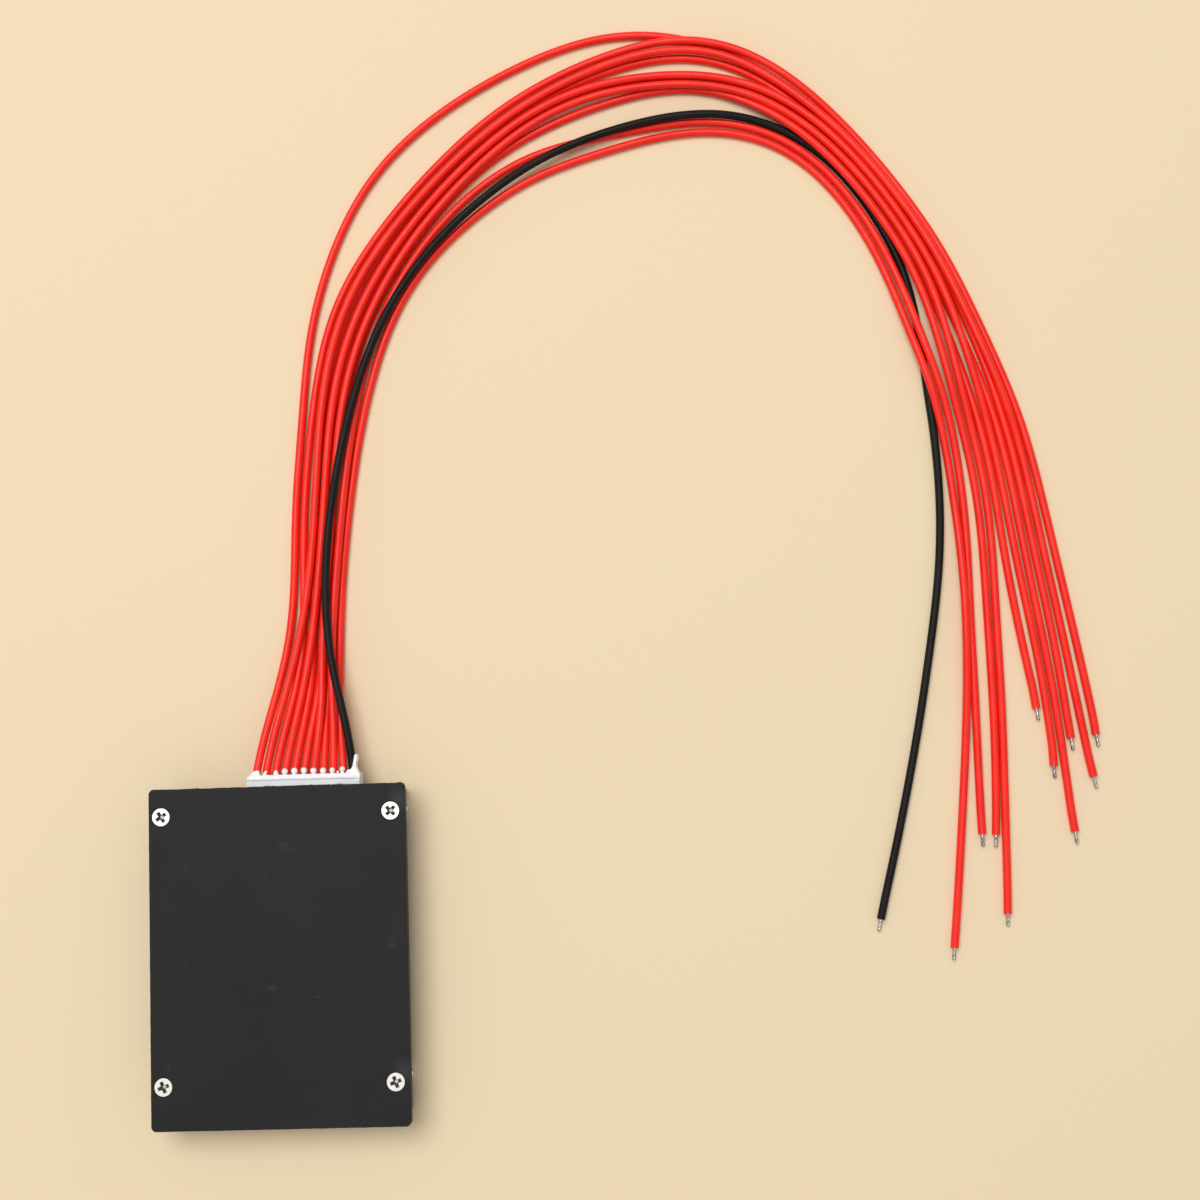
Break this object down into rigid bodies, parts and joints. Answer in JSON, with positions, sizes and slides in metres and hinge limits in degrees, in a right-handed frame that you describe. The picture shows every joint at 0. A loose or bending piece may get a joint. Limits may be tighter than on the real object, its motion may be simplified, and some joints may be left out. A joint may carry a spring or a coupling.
{
  "type": "battery management board",
  "caption": "Circuit board under a screwed-on black cooling cover, with a plugged-in row of loose sense wires, for balancing and guarding a pack of cells.",
  "frame": {"origin": "centre of the board's footprint, on the surface that its nuts stand on", "axes": "+Z out of the cover, +Y towards the wire socket, +X towards the side where the wires come back down"},
  "size_m": [0.1966, 0.2295, 0.0102],
  "materials": {
    "board_laminate": "glass-fibre laminate under a satin black solder mask",
    "cover_black": "matt black coat with faint scratches and small bare chips along one edge",
    "plated_steel": "bright plating",
    "sleeve_brass": "turned",
    "thermal_pad_grey": "soft, matt",
    "moulded_black": "moulded epoxy, fine matt grain",
    "tinned_copper": "matt tin",
    "shunt_body": "dark coat between tinned ends",
    "resistor_black": "dark glaze between tinned ends",
    "capacitor_tan": "fired ceramic between tinned ends",
    "solder": "smooth solder, slightly wavy",
    "socket_white": "moulded nylon, natural white",
    "plug_white": "moulded nylon, natural white",
    "contact_brass": "tinned stamping",
    "adhesive_white": "cured silicone, satin",
    "wire_red": "smooth satin insulation",
    "wire_black": "smooth satin insulation",
    "tinned_strands": "twisted strands dipped in solder"
  },
  "bodies": {
    "root": {"circuit_board": "board_laminate", "cover_plate": "cover_black", "cover_screws": "plated_steel", "spacer_sleeves": "sleeve_brass", "screw_nuts": "plated_steel", "thermal_pad": "thermal_pad_grey", "power_transistors": "moulded_black", "transistor_tabs": "tinned_copper", "transistor_leads": "tinned_copper", "current_shunts": "shunt_body", "bleed_resistors": "resistor_black", "bleed_transistors": "moulded_black", "bleed_leads": "tinned_copper", "monitor_chip": "moulded_black", "monitor_leads": "tinned_copper", "ceramic_capacitors": "capacitor_tan", "power_lands": "solder", "pin_solder": "solder", "wire_socket": "socket_white", "socket_pins": "tinned_copper", "plug_housing": "plug_white", "plug_contacts": "contact_brass", "adhesive_bead": "adhesive_white", "sense_wire_00": "wire_red", "sense_wire_01": "wire_red", "sense_wire_02": "wire_red", "sense_wire_03": "wire_red", "sense_wire_04": "wire_red", "sense_wire_05": "wire_red", "sense_wire_06": "wire_red", "sense_wire_07": "wire_red", "sense_wire_08": "wire_red", "sense_wire_09": "wire_red", "sense_wire_10": "wire_black", "wire_tip_00": "tinned_strands", "wire_tip_01": "tinned_strands", "wire_tip_02": "tinned_strands", "wire_tip_03": "tinned_strands", "wire_tip_04": "tinned_strands", "wire_tip_05": "tinned_strands", "wire_tip_06": "tinned_strands", "wire_tip_07": "tinned_strands", "wire_tip_08": "tinned_strands", "wire_tip_09": "tinned_strands", "wire_tip_10": "tinned_strands"}
  },
  "joints": []
}
